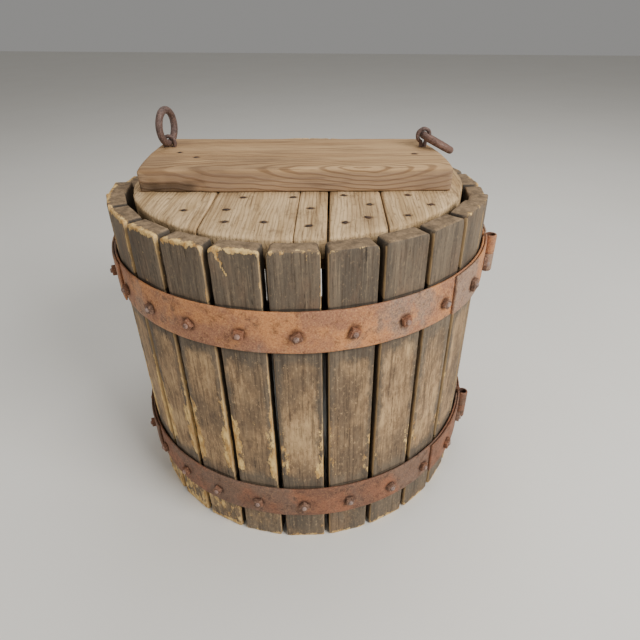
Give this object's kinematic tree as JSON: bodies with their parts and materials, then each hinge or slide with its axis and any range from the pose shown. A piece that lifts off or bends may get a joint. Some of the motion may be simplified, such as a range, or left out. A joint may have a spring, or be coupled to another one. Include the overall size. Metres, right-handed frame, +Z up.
{
  "type": "fruit press basket",
  "caption": "Round slatted wooden press basket in two hinged halves bound by iron hoops, with a round boarded press lid, a wooden crosspiece and two lifting rings.",
  "frame": {"origin": "on the floor, at the centre of the basket", "axes": "+Z up; +X towards the open latch eyes, along the line where the halves part; -Y towards the fixed front half"},
  "size_m": [0.474, 0.46, 0.4575],
  "materials": {
    "slat_wood": "weathered, worn bare and pale along the edges",
    "lid_wood": "weathered, open grain",
    "crosspiece_wood": "weathered, strong grain",
    "hoop_iron": "rusted wrought strip",
    "fastener_iron": "rusted",
    "nail_iron": "dark, rusted",
    "ring_iron": "dark forged iron"
  },
  "bodies": {
    "front_half": {"front_slat_01": "slat_wood", "front_slat_02": "slat_wood", "front_slat_03": "slat_wood", "front_slat_04": "slat_wood", "front_slat_05": "slat_wood", "front_slat_06": "slat_wood", "front_slat_07": "slat_wood", "front_slat_08": "slat_wood", "front_slat_09": "slat_wood", "front_slat_10": "slat_wood", "front_slat_11": "slat_wood", "front_slat_12": "slat_wood", "front_slat_13": "slat_wood", "front_lower_hoop": "hoop_iron", "front_upper_hoop": "hoop_iron", "front_lower_hinge_strap": "hoop_iron", "front_upper_hinge_strap": "hoop_iron", "front_lower_latch_strap": "hoop_iron", "front_upper_latch_strap": "hoop_iron", "front_bolts": "fastener_iron", "front_nuts": "fastener_iron", "hinge_pins": "fastener_iron"},
    "rear_half": {"rear_slat_01": "slat_wood", "rear_slat_02": "slat_wood", "rear_slat_03": "slat_wood", "rear_slat_04": "slat_wood", "rear_slat_05": "slat_wood", "rear_slat_06": "slat_wood", "rear_slat_07": "slat_wood", "rear_slat_08": "slat_wood", "rear_slat_09": "slat_wood", "rear_slat_10": "slat_wood", "rear_slat_11": "slat_wood", "rear_slat_12": "slat_wood", "rear_slat_13": "slat_wood", "rear_lower_hoop": "hoop_iron", "rear_upper_hoop": "hoop_iron", "rear_lower_hinge_strap": "hoop_iron", "rear_upper_hinge_strap": "hoop_iron", "rear_lower_latch_strap": "hoop_iron", "rear_upper_latch_strap": "hoop_iron", "rear_bolts": "fastener_iron", "rear_nuts": "fastener_iron"},
    "lid": {"lid_board_1": "lid_wood", "lid_board_2": "lid_wood", "lid_board_3": "lid_wood", "lid_board_4": "lid_wood", "lid_board_5": "lid_wood", "lid_front_batten": "lid_wood", "lid_rear_batten": "lid_wood", "lid_crosspiece": "crosspiece_wood", "lid_nails": "nail_iron", "left_ring_eye": "ring_iron", "right_ring_eye": "ring_iron"},
    "left_ring": {"left_ring": "ring_iron"},
    "right_ring": {"right_ring": "ring_iron"}
  },
  "joints": [
    {"name": "rear_half_swing", "type": "hinge", "parent": "front_half", "child": "rear_half", "pos_m": [-0.23, 0, 0], "axis": [0, 0, 1], "range_deg": [0, 120]},
    {"name": "lid_press", "type": "slide", "parent": "front_half", "child": "lid", "axis": [0, 0, 1], "range_m": [-0.28, 0.06]},
    {"name": "left_ring_tip", "type": "hinge", "parent": "lid", "child": "left_ring", "pos_m": [-0.16497, 0.00174, 0.41565], "axis": [-0.0175, 0.9998, 0], "range_deg": [-10, 88]},
    {"name": "right_ring_lift", "type": "hinge", "parent": "lid", "child": "right_ring", "pos_m": [0.13998, 0.05327, 0.42444], "axis": [0.3746, -0.9272, 0], "range_deg": [0, 190]}
  ]
}
